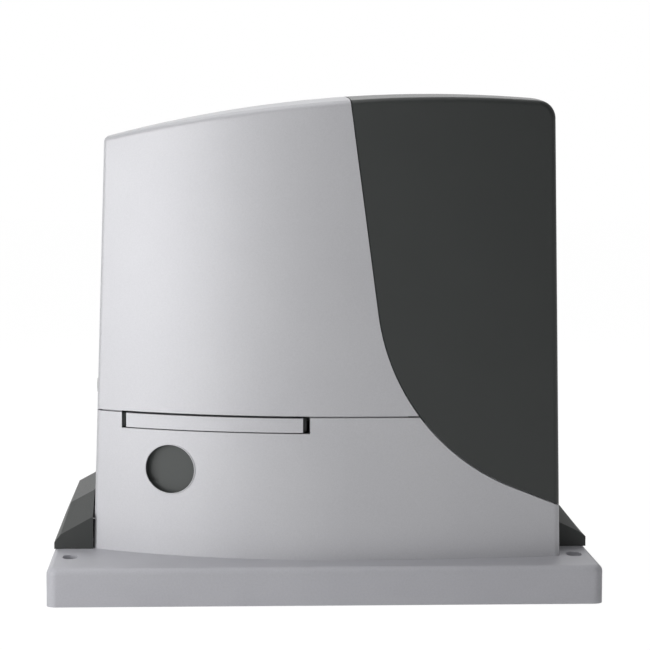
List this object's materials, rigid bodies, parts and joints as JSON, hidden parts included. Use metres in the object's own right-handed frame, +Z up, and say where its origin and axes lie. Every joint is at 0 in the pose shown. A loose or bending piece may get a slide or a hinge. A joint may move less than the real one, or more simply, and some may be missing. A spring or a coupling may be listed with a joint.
{
  "type": "sliding gate motor",
  "caption": "Sliding gate motor: a cast base with a bowed two-tone casing, an output pinion for a gate rack, a pull-out manual release and a key lock behind a round window.",
  "frame": {"origin": "centre of the base's underside", "axes": "+X to the right along the gate, +Y from the front of the motor towards the gate and its rack, +Z up"},
  "size_m": [0.33, 0.21, 0.303],
  "materials": {
    "base_casting": "silver paint on die-cast aluminium, satin",
    "silver_shell": "silver paint on moulded plastic, satin",
    "dark_shell": "moulded charcoal plastic, fine texture",
    "die_casting": "as cast",
    "turned_steel": "turned and ground",
    "zinc_fastener": "zinc plated",
    "bearing_steel": "ground",
    "wheel_bronze": "hobbed bronze",
    "lock_zinc": "die-cast zinc, nickel plated",
    "seal_rubber": "moulded rubber",
    "black_plastic": "moulded glass-filled nylon",
    "can_steel": "zinc-plated deep-drawn steel",
    "magnet": "sintered ferrite",
    "lamination": "stacked electrical steel",
    "winding": "wound coil under polyester film",
    "board": "fibreglass laminate with green resist",
    "terminal": "moulded nylon",
    "relay": "moulded case",
    "component": "moulded epoxy",
    "button": "moulded plastic"
  },
  "bodies": {
    "chassis": {"base_plate": "base_casting", "lower_shell": "silver_shell", "rear_skirt": "dark_shell", "cable_grommet": "seal_rubber", "cover_screw": "zinc_fastener", "lock_body": "lock_zinc", "gear_case": "die_casting", "gear_case_lid": "die_casting", "lid_screws": "zinc_fastener", "foot_bolts": "zinc_fastener", "rear_bearing": "bearing_steel", "front_bearing": "bearing_steel", "worm_lower_bearing": "bearing_steel", "worm_upper_bearing": "bearing_steel", "shaft_seal": "seal_rubber", "motor_can": "can_steel", "motor_cap": "black_plastic", "motor_magnets": "magnet", "motor_screws": "zinc_fastener", "transformer_coil": "winding", "transformer_dish": "zinc_fastener", "transformer_bolt": "zinc_fastener", "board_tray": "black_plastic", "board_screws": "zinc_fastener", "control_board": "board", "terminal_blocks": "terminal", "relays": "relay", "fuse_holder": "component", "capacitors": "component", "processor": "component", "receiver_module": "relay", "button_switches": "component", "limit_switch_case": "black_plastic"},
    "cover": {"upper_cover": "silver_shell", "side_panel": "dark_shell"},
    "release": {"release_handle": "silver_shell", "release_yoke": "zinc_fastener", "release_rod": "turned_steel", "release_fork": "zinc_fastener"},
    "lock_slide": {"lock_plate": "dark_shell"},
    "lock_core": {"lock_barrel": "lock_zinc", "lock_cam": "zinc_fastener"},
    "output": {"output_shaft": "turned_steel", "worm_wheel": "wheel_bronze", "wheel_bush": "wheel_bronze", "pinion": "turned_steel", "pinion_key": "turned_steel", "pinion_bolt": "zinc_fastener"},
    "clutch": {"clutch_ring": "turned_steel"},
    "rotor": {"worm_shaft": "turned_steel", "armature": "lamination", "encoder_magnet": "magnet"},
    "limit_arm": {"limit_lever": "black_plastic", "limit_spring": "turned_steel"},
    "button_left": {"board_button_left": "button"},
    "button_middle": {"board_button_middle": "button"},
    "button_right": {"board_button_right": "button"}
  },
  "joints": [
    {"name": "cover_lift", "type": "slide", "parent": "chassis", "child": "cover", "axis": [0, 0, 1], "range_m": [0, 0.2]},
    {"name": "release_pull", "type": "slide", "parent": "chassis", "child": "release", "axis": [0, -1, 0], "range_m": [0, 0.012]},
    {"name": "clutch_shift", "type": "slide", "parent": "output", "child": "clutch", "axis": [0, -1, 0], "range_m": [0, 0.012]},
    {"name": "lock_plate_slide", "type": "slide", "parent": "chassis", "child": "lock_slide", "axis": [0.9483, -0.3175, 0], "range_m": [0, 0.032]},
    {"name": "lock_turn", "type": "hinge", "parent": "chassis", "child": "lock_core", "pos_m": [-0.0929, -0.028, 0.0754], "axis": [0, 1, 0], "range_deg": [-90, 0]},
    {"name": "output_spin", "type": "hinge", "parent": "chassis", "child": "output", "pos_m": [0, 0.05, 0.095], "axis": [0, 1, 0], "continuous": true},
    {"name": "rotor_spin", "type": "hinge", "parent": "chassis", "child": "rotor", "pos_m": [0.06, 0.05, 0.095], "axis": [0, 0, 1], "continuous": true},
    {"name": "limit_swing", "type": "hinge", "parent": "chassis", "child": "limit_arm", "pos_m": [0, 0.0755, 0.164], "axis": [0, 0, 1], "range_deg": [-30, 30], "stiffness_Nm_per_rad": 0.08},
    {"name": "press_left", "type": "slide", "parent": "chassis", "child": "button_left", "axis": [0, 1, 0], "range_m": [0, 0.0003], "stiffness_N_per_m": 500},
    {"name": "press_middle", "type": "slide", "parent": "chassis", "child": "button_middle", "axis": [0, 1, 0], "range_m": [0, 0.0003], "stiffness_N_per_m": 500},
    {"name": "press_right", "type": "slide", "parent": "chassis", "child": "button_right", "axis": [0, 1, 0], "range_m": [0, 0.0003], "stiffness_N_per_m": 500}
  ],
  "couplings": [
    {"joint": "rotor_spin", "follows": "output_spin", "ratio": 30},
    {"joint": "clutch_shift", "follows": "release_pull", "ratio": 1}
  ]
}
